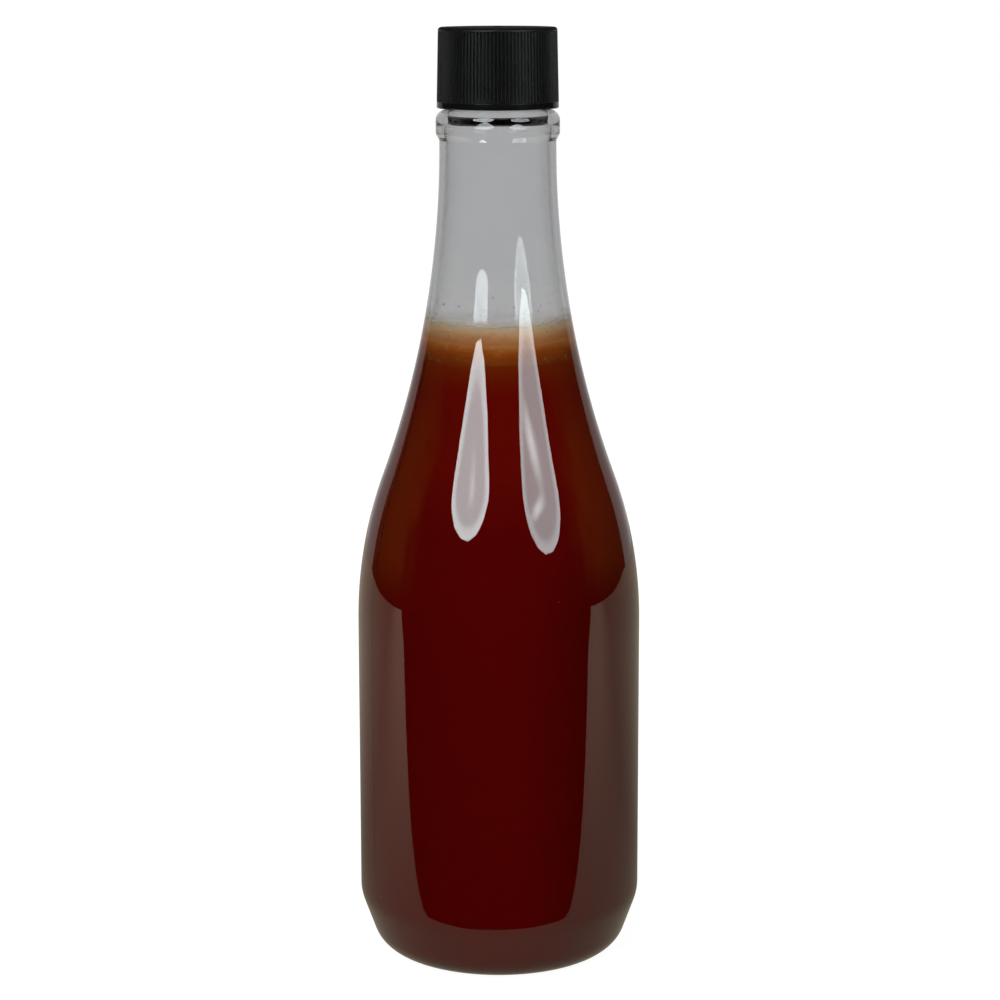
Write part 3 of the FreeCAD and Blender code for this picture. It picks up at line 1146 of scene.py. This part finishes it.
@dataclass
class Contents:
    """Sauce, the froth that floats on it, and what they leave on the wall."""

    bottle: Bottle
    sauce_finish: SauceFinish
    froth_finish: FrothFinish
    residue_finish: ResidueFinish
    speck_finish: SpeckFinish
    headspace_h: float = 42.7
    froth_t: float = 4.7
    froth_dip: float = 0.7
    froth_lip_w: float = 2.2
    froth_overlap: float = 0.3
    froth_shy: float = 0.02
    into_wall: float = 0.08
    line_wave: float = 0.45
    rim_wave: float = 0.35
    top_bump: float = 0.25
    film_sunk: float = 0.055
    film_t: float = 0.03
    middle_rise: float = 1.7
    bubble_density: float = 1.5e6
    bubble_radii: tuple[float, float] = (0.10, 0.42)
    speck_density: float = 1.1e5
    speck_radii: tuple[float, float] = (0.03, 0.17)
    around: int = 192
    seed: int = 11

    def __post_init__(self) -> None:
        """Works out the levels."""
        self.froth_z = self.bottle.neck_z - self.headspace_h
        self.sauce_z = self.froth_z - self.froth_t
        self.angles = [2 * math.pi * index / self.around for index in range(self.around)]

    @staticmethod
    def wave(angle: float, turns: float, shift: float) -> float:
        """Smooth unevenness round the axis, from about -1 to 1.

        Args:
            angle: Angle from the front.
            turns: How many swings fit round the axis, roughly.
            shift: Which of many such waves this is.

        Returns:
            The height of the wave.
        """
        return 1.6 * noise.noise(Vector((math.sin(angle) * turns, math.cos(angle) * turns, shift)))

    def line_height(self, angle: float) -> float:
        """Height of the line where the froth starts, on the wall."""
        return self.sauce_z + self.line_wave * self.wave(angle, 1.6, 3.0)

    def rim_height(self, angle: float) -> float:
        """Height of the froth's top on the wall."""
        return self.froth_z + self.rim_wave * (self.wave(angle, 2.0, 7.0) + 0.4 * self.wave(angle, 9.0, 5.0))

    def wetted_radius(self, height: float, less: float = 0.0) -> float:
        """Radius of the contents at a height, a little way into the wall."""
        return self.bottle.inside_radius(height) + self.into_wall - less

    def closed_rings(self, name: str, poles: tuple[float, float], rings: Sequence[Sequence[Vector]],
                     material: Material) -> Object:
        """Closes rings of vertices with a point on the axis at each end.

        Args:
            name: Name of the piece.
            poles: Heights of the first and the last point, in millimetres.
            rings: The rings in order, in metres.
            material: Material of the piece.

        Returns:
            The piece.
        """
        start, end = (Vector((0, 0, height)) * MM for height in poles)
        vertices = [start] + [vertex for ring in rings for vertex in ring] + [end]
        faces = [tuple(number + 1 for number in face) for face in ring_faces(len(rings), self.around)]
        last_ring, last = 1 + (len(rings) - 1) * self.around, len(vertices) - 1
        for index in range(self.around):
            after = (index + 1) % self.around
            faces += [(0, 1 + after, 1 + index), (last, last_ring + index, last_ring + after)]
        return mesh_piece(name, vertices, faces, material)

    def sauce(self) -> Object:
        """Sauce from the base up to its uneven line on the wall.

        Returns:
            The piece.
        """
        profile = [point for point in self.bottle.inside if point[1] < self.sauce_z - 1.5]
        rings = []
        for radius, height in profile[1:]:
            on_floor = height < self.bottle.chamfer_h and radius < self.bottle.body_r - 12
            out, down = (0.0, self.into_wall) if on_floor else (self.into_wall, 0.0)
            rings.append([round_the_axis(radius + out, angle, height - down) for angle in self.angles])
        start = profile[-1][1]
        for share in (0.25, 0.5, 0.75, 1.0):
            heights = [start + share * (self.line_height(angle) - start) for angle in self.angles]
            rings.append([round_the_axis(self.wetted_radius(height), angle, height)
                          for angle, height in zip(self.angles, heights)])
        return self.closed_rings("sauce_body", (profile[0][1] - self.into_wall, self.sauce_z), rings,
                                 self.sauce_finish.material())

    def froth_side(self, share: float) -> tuple[list[Vector], list[float]]:
        """Ring on the froth's side at a share of its height, and how far up each of its points is.

        Args:
            share: From 0 at the foot to 1 at the rim.

        Returns:
            The ring in metres, and the rise from 0 at the sauce's line to 1 at the rim.
        """
        ring, rise = [], []
        for angle in self.angles:
            low, high = self.line_height(angle) - self.froth_overlap, self.rim_height(angle)
            height = low + share * (high - low)
            ring.append(round_the_axis(self.wetted_radius(height, self.froth_shy), angle, height))
            rise.append((height - low - self.froth_overlap) / (high - low - self.froth_overlap))
        return ring, rise

    def froth_top(self, share: float) -> tuple[list[Vector], list[float]]:
        """Ring on the froth's lumpy top at a share of its radius, and its rise, which grows inwards.

        Args:
            share: From 0 on the axis to 1 at the rim.

        Returns:
            The ring in metres, and the rise of each of its points.
        """
        ring, rise = [], []
        for angle in self.angles:
            rim_z = self.rim_height(angle)
            rim_r = self.wetted_radius(rim_z, self.froth_shy)
            lip = max(0.0, 1 - (rim_r - rim_r * share) / self.froth_lip_w) ** 2
            spot = round_the_axis(rim_r * share, angle, 0)
            lump = noise.fractal(spot * 260, 1.0, 2.0, 4) * self.top_bump
            height = self.froth_z - self.froth_dip * (1 - lip) + (rim_z - self.froth_z) * lip + lump
            ring.append(Vector((spot.x, spot.y, height * MM)))
            rise.append(1.0 + (self.middle_rise - 1.0) * (1 - lip))
        return ring, rise

    @staticmethod
    def mark_rise(piece: Object, rise: Sequence[float]) -> Object:
        """Writes how far up in the froth each vertex is, for its finish."""
        piece.data.attributes.new("rise", "FLOAT", "POINT").data.foreach_set("value", rise)
        return piece

    def froth(self) -> Object:
        """Froth with an uneven rim and a lumpy top.

        Returns:
            The piece.
        """
        side_steps, top_steps = 14, 26
        made = [self.froth_side(step / side_steps) for step in range(side_steps + 1)]
        made += [self.froth_top(1 - step / top_steps) for step in range(1, top_steps)]
        poles = (self.sauce_z - self.froth_overlap, self.froth_z - self.froth_dip)
        piece = self.closed_rings("froth_body", poles, [ring for ring, _ in made], self.froth_finish.material())
        levels = [level for _, rise in made for level in rise]
        return self.mark_rise(piece, [0.0] + levels + [self.middle_rise])

    def scattered(self, name: str, host: Mesh, per_square_metre: float,
                  sizes: tuple[float, float], material: Material) -> Object:
        """Small balls scattered over a surface.

        Args:
            name: Name of the piece.
            host: Surface that they lie on.
            per_square_metre: How many, for each square metre.
            sizes: Smallest and largest radius, in millimetres.
            material: Their material.

        Returns:
            The piece.
        """
        tree = GeometryTree("Scatter " + name, Per_Square_Metre=per_square_metre, Seed=self.seed,
                            Smallest=sizes[0] * MM, Largest=sizes[1] * MM, Material=material)
        given = tree.given
        spots = tree.add("DistributePointsOnFaces", Mesh=given["Geometry"],
                         Density=given["Per Square Metre"], Seed=given["Seed"])
        size = tree.add("FunctionNodeRandomValue", {"data_type": "FLOAT"}, in_2=given["Smallest"],
                        in_3=given["Largest"], Seed=given["Seed"])
        ball = tree.add("MeshIcoSphere", Radius=1.0, Subdivisions=2)
        placed = tree.instances(spots.outputs["Points"], ball.outputs["Mesh"], Scale=size.outputs[1])
        realized = tree.add("RealizeInstances", Geometry=placed)
        smooth = tree.add("SetShadeSmooth", Geometry=realized.outputs[0])
        return tree.run(name, host, smooth.outputs[0])

    def bubbles(self) -> Object:
        """Small bubbles over the top of the froth.

        Returns:
            The piece.
        """
        top = bpy.data.meshes.new("froth_top")
        work = bmesh.new()
        reach = self.wetted_radius(self.froth_z) - 0.4
        bmesh.ops.create_circle(work, cap_ends=True, radius=reach * MM, segments=48,
                                matrix=Matrix.Translation((0, 0, (self.froth_z - self.froth_dip) * MM)))
        work.to_mesh(top)
        work.free()
        piece = self.scattered("froth_bubbles", top, self.bubble_density, self.bubble_radii,
                               self.froth_finish.material())
        return self.mark_rise(piece, [self.middle_rise] * len(piece.data.vertices))

    def wall_rings(self, heights: Sequence[float], out: float) -> list[Vector]:
        """Vertices of rings that lie a little outside or inside the inner wall at some heights."""
        return [round_the_axis(self.bottle.inside_radius(height) + out, angle, height)
                for height in heights for angle in self.angles]

    def specks(self) -> Object:
        """Dark specks that dried on the wall above the froth.

        Returns:
            The piece.
        """
        above_froth, off_wall, steps = 0.6, 0.02, 9
        heights = [self.froth_z + above_froth + step for step in range(steps)]
        band = new_mesh("speckled_band", self.wall_rings(heights, -off_wall),
                        ring_faces(steps, self.around))
        return self.scattered("residue_specks", band, self.speck_density, self.speck_radii,
                              self.speck_finish.material())

    def film(self) -> Object:
        """Film of residue on the inside of the wall, above and over the froth's rim.

        Returns:
            The piece.
        """
        steps, low, high = 24, self.residue_finish.low, self.residue_finish.high
        heights = [low + (high - low) * step / steps for step in range(steps + 1)]
        vertices = self.wall_rings(heights, self.film_sunk)
        vertices += self.wall_rings(heights[::-1], self.film_sunk - self.film_t)
        faces = ring_faces(2 * len(heights), self.around, closed_loop=True)
        return mesh_piece("residue_film", vertices, faces, self.residue_finish.material())

    def build(self) -> None:
        """Makes the sauce, the froth, its bubbles, and the film and specks above it."""
        hand_over(self.sauce(), "sauce", "sauce")
        for make in (self.froth, self.bubbles, self.film, self.specks):
            hand_over(make(), "froth", "froth")


# The studio

class Fold(NamedTuple):
    """Bright fold in a lamp's cloth, in shares of its radius; the turn is from upright to the right."""

    across: float
    up: float
    turn: float
    length: float
    width: float
    strength: float


@dataclass(frozen=True)
class Lamp:
    """Round soft lamp at a distance from the bottle, which it faces."""

    name: str
    angle: float
    rise: float
    spread: float
    radiance: float
    folds: tuple[Fold, ...]
    distance: float = 1.5
    tone: Colour = (0.90, 0.985, 1.0)
    cloth: float = 0.78
    rim: float = 0.42

    @property
    def radius(self) -> float:
        """Radius of the lamp in metres."""
        return self.distance * math.tan(math.radians(self.spread))

    def centre(self, aim: Vector) -> Vector:
        """Place of the lamp's middle in metres, for a point that it faces.

        Args:
            aim: The point that it faces.

        Returns:
            The place.
        """
        angle, rise = math.radians(self.angle), math.radians(self.rise)
        away = Vector((math.sin(angle) * math.cos(rise), -math.cos(angle) * math.cos(rise), math.sin(rise)))
        return aim + away * self.distance

    def glow(self, tree: ShaderTree, centre: Vector, right: Vector, up: Vector) -> Value:
        """Brightness of the cloth, with a brighter rim and short bright folds.

        Args:
            tree: The tree of the cloth's material.
            centre: The lamp's middle.
            right: Unit vector to the right across its face.
            up: Unit vector up its face.

        Returns:
            The radiance at a place on the face.
        """
        from_centre = tree.read(0, "VectorMath", {"operation": "SUBTRACT"}, in_0=tree.place(),
                                in_1=tuple(centre))
        bright = tree.span(tree.length(from_centre), self.radius * 0.70, self.radius * 0.90) * self.rim

        def off(middle: Vector, way: Vector) -> Value:
            """Distance from a fold's middle along one way, in shares of the radius."""
            along = tree.read("Value", "VectorMath", {"operation": "DOT_PRODUCT"}, in_0=from_centre,
                              in_1=tuple(way / self.radius))
            return abs(along - middle.dot(way))

        for fold in self.folds:
            turn = math.radians(fold.turn)
            middle = up * fold.up + right * fold.across
            course = up * math.cos(turn) + right * math.sin(turn)
            side = up * math.sin(turn) - right * math.cos(turn)
            bright = bright + (tree.span(off(middle, course), fold.length, 0.0)
                               * tree.span(off(middle, side), fold.width, 0.0)) * fold.strength
        return (bright + self.cloth) * self.radiance


@dataclass
class Studio:
    """Pale table and backdrop, two soft lamps, dark surroundings and the camera."""

    aim: Vector = field(default_factory=lambda: Vector((0, 0, 0.12)))
    lamps: tuple[Lamp, ...] = (
        Lamp("left_lamp", -30.0, 32.4, 18.0, 9.0, (Fold(0.18, 0.0, 15.0, 0.6, 0.22, 0.6),)),
        Lamp("right_lamp", 44.0, 27.1, 17.5, 6.0, (Fold(-0.1, 0.85, 100.0, 0.66, 0.18, 1.0),
                                                  Fold(-0.28, -0.25, 78.0, 0.62, 0.18, 1.0))))
    table_half: float = 2.5
    table_front: float = -0.050
    table_edge: float = 0.0012
    table_left: float = -0.72
    table_right: float = 0.86
    table_back: float = 0.62
    table_tone: Colour = (1.0, 0.92, 0.70)
    backdrop_h: float = 1.4
    backdrop_half: float = 0.74
    surround: float = 0.012
    ambient: float = 0.25

    @staticmethod
    def reflected(tree: ShaderTree) -> list[Value]:
        """Whether a ray has been scattered by a dull surface, and whether it has been mirrored."""
        rays = tree.add("LightPath").outputs
        return [Value(tree, rays[way + " Depth"]).at_most(1.0) for way in ("Diffuse", "Glossy")]

    def world(self) -> None:
        """White behind the bottle, dim for light on it, dark where it mirrors the room."""
        world = bpy.data.worlds.new("studio_room")
        world.use_nodes = True
        bpy.context.scene.world = world
        tree = ShaderTree(world.node_tree)
        scattered, mirrored = self.reflected(tree)
        white, dark, dim = (tree.glow(level, kind="Background") for level in (1.0, self.surround, self.ambient))
        rays = tree.add("LightPath").outputs
        seen = Value(tree, rays["Is Camera Ray"]).at_least(rays["Is Transmission Ray"]).at_least(
            rays["Is Glossy Ray"])
        shown = tree.mix(mirrored, tree.mix(seen, dim, white), dark)
        tree.add("OutputWorld", Surface=tree.mix(scattered, shown, dim).outputs[0])

    def table_light(self, tree: ShaderTree) -> Value:
        """How bright the lit part of the table is where the bottle mirrors it.

        Args:
            tree: The tree of the table's material.

        Returns:
            The brightness at a place on the table.
        """
        place = tree.place()
        across, deep, _ = tree.split(place)
        spread = ((across - 0.04).at_least(0.0) * 0.15
                  + (tree.math("SUBTRACT", -0.05, across)).at_least(0.0) * 0.045
                  - tree.span(across, 0.0, -0.02) * 0.003)
        within = (tree.span(across, self.table_left, self.table_left + 0.01)
                  * tree.span(across, self.table_right, self.table_right - 0.01)) * (
                      tree.span(deep + spread, self.table_front - self.table_edge,
                                self.table_front + self.table_edge)
                      * tree.span(deep, self.table_back + 0.01, self.table_back))
        level = tree.span(deep, 0.075, self.table_front) * 0.36 + 0.33
        away_light = tree.span(tree.length(place), 0.03, 0.34) * 0.50 + 0.56
        to_left = tree.span(across, 0.0, -0.2) * 0.18 + 1.0
        return level * (away_light * to_left) * within

    def floor(self) -> None:
        """Pale table that shows white with the bottle's shadow on it."""
        tree = ShaderTree.of_material("pale_table")
        scattered, mirrored = self.reflected(tree)
        rays = tree.add("LightPath").outputs
        mirror_view = tree.glow(self.table_light(tree).at_least(self.surround), self.table_tone)
        # Painted shade: the table's glow is made dimmer near the bottle, which deepens the bottle's shadow
        # there; further out the table clips to white.
        glow = tree.span(tree.length(tree.place()), 0.05, 0.20) * 0.08 + 0.93
        shade = tree.add("AddShader", in_0=tree.glow(glow).outputs[0],
                         in_1=tree.add("BsdfDiffuse", Color=(0.15, 0.15, 0.15)).outputs[0])
        paint = tree.add("BsdfDiffuse", Color=(0.8, 0.8, 0.8))
        seen = tree.mix(rays["Is Camera Ray"], tree.mix(rays["Is Transmission Ray"], paint, tree.glow(1.0)),
                        shade)
        material = tree.show(tree.mix(scattered, tree.mix(mirrored, seen, mirror_view), paint))
        half = self.table_half
        corners = [Vector((x, y, 0)) for x, y in ((-half, -half), (half, -half), (half, half), (-half, half))]
        mesh_piece("table", corners, [(0, 1, 2, 3)], material, closed=False)

    def card(self, name: str, corners: Sequence[Vector], level: Callable[[ShaderTree], Value],
             tone: Colour = (1.0, 1.0, 1.0)) -> None:
        """Glowing card that shows only in mirrored rays.

        Args:
            name: Name of the card.
            corners: Its corners in order, in metres.
            level: Makes the nodes for its glow.
            tone: Colour of the glow.
        """
        tree = ShaderTree.of_material(name)
        scattered, mirrored = self.reflected(tree)
        seen = mirrored * (1.0 - scattered)
        material = tree.show(tree.mix(seen, tree.add("BsdfTransparent"), tree.glow(level(tree), tone)))
        card = mesh_piece(name, corners, [tuple(range(len(corners)))], material, closed=False)
        card.visible_camera = card.visible_diffuse = card.visible_shadow = False

    def backdrop(self) -> None:
        """Upright pale sheet behind the bottle, brightest in its middle."""
        def level(tree: ShaderTree) -> Value:
            """Glow that falls off to the sides.

            Args:
                tree: The tree of the sheet's material.

            Returns:
                The brightness.
            """
            middle = tree.span(abs(tree.split(tree.place())[0]), 0.45, 0.10)
            outside = middle * 0.32 + 0.34
            within = tree.read("Transmission Depth", "LightPath").at_most(1.0)
            return outside + within * (0.55 - outside)

        half, foot, top = self.backdrop_half, 0.001, self.backdrop_h
        corners = [Vector((x, self.table_back, z))
                   for x, z in ((-half, foot), (half, foot), (half, top), (-half, top))]
        self.card("backdrop", corners, level)

    def lamp(self, lamp: Lamp) -> None:
        """Soft lamp and the face that it shows in mirrored rays.

        Args:
            lamp: Where it stands, how bright it is and how its cloth is folded.
        """
        centre, radius, sides = lamp.centre(self.aim), lamp.radius, 16
        facing = (self.aim - centre).to_track_quat("-Z", "Y")
        light = bpy.data.lights.new(lamp.name, "AREA")
        light.shape = "DISK"
        light.size = 2 * radius
        light.energy = lamp.radiance * math.pi * math.pi * radius ** 2
        thing = bpy.data.objects.new(lamp.name, light)
        thing.location = centre
        thing.rotation_mode = "QUATERNION"
        thing.rotation_quaternion = facing
        thing.visible_glossy = thing.visible_transmission = thing.visible_camera = False
        bpy.context.scene.collection.objects.link(thing)
        right, up = facing @ Vector((1, 0, 0)), facing @ Vector((0, 1, 0))
        corners = [centre + (right * math.cos(2 * math.pi * (k + 0.5) / sides)
                             + up * math.sin(2 * math.pi * (k + 0.5) / sides)) * radius for k in range(sides)]
        self.card(lamp.name + "_face", corners, lambda tree: lamp.glow(tree, centre, right, up), lamp.tone)

    def camera(self) -> None:
        """Camera in front of the bottle, a little above it and looking down at it."""
        data = bpy.data.cameras.new("camera")
        data.lens, data.sensor_width, data.clip_start, data.clip_end = 101.73, 36.0, 0.01, 20.0
        camera = bpy.data.objects.new("camera", data)
        camera.location = (0.0, -0.62818, 0.22371)
        pitch, roll, yaw = (math.radians(angle) for angle in (90 - 10.747, -0.112, -0.029))
        turn = Matrix.Rotation(yaw, 3, "Z") @ Matrix.Rotation(pitch, 3, "X") @ Matrix.Rotation(roll, 3, "Z")
        camera.rotation_euler = turn.to_euler()
        bpy.context.scene.collection.objects.link(camera)
        bpy.context.scene.camera = camera

    def build(self) -> None:
        """Sets up the room, the lamps and the camera."""
        self.world()
        self.floor()
        self.backdrop()
        for lamp in self.lamps:
            self.lamp(lamp)
        self.camera()
        bpy.context.scene.view_settings.view_transform = "Standard"
        log.info("studio: %d lamps", len(self.lamps))


def main() -> None:
    """Builds the studio, the bottle, its cap and its contents."""
    logging.basicConfig(level=logging.INFO, format="%(name)s: %(message)s")
    Studio().build()
    bottle = Bottle(ClearPlastic("clear_bottle_plastic"))
    bottle.build()
    Cap(CapPlastic("black_cap_plastic"), bottle).build()
    Contents(bottle, SauceFinish("pepper_sauce"), FrothFinish("sauce_froth"), ResidueFinish("wall_residue"),
             SpeckFinish("dried_specks")).build()


if __name__ == "__main__":
    main()
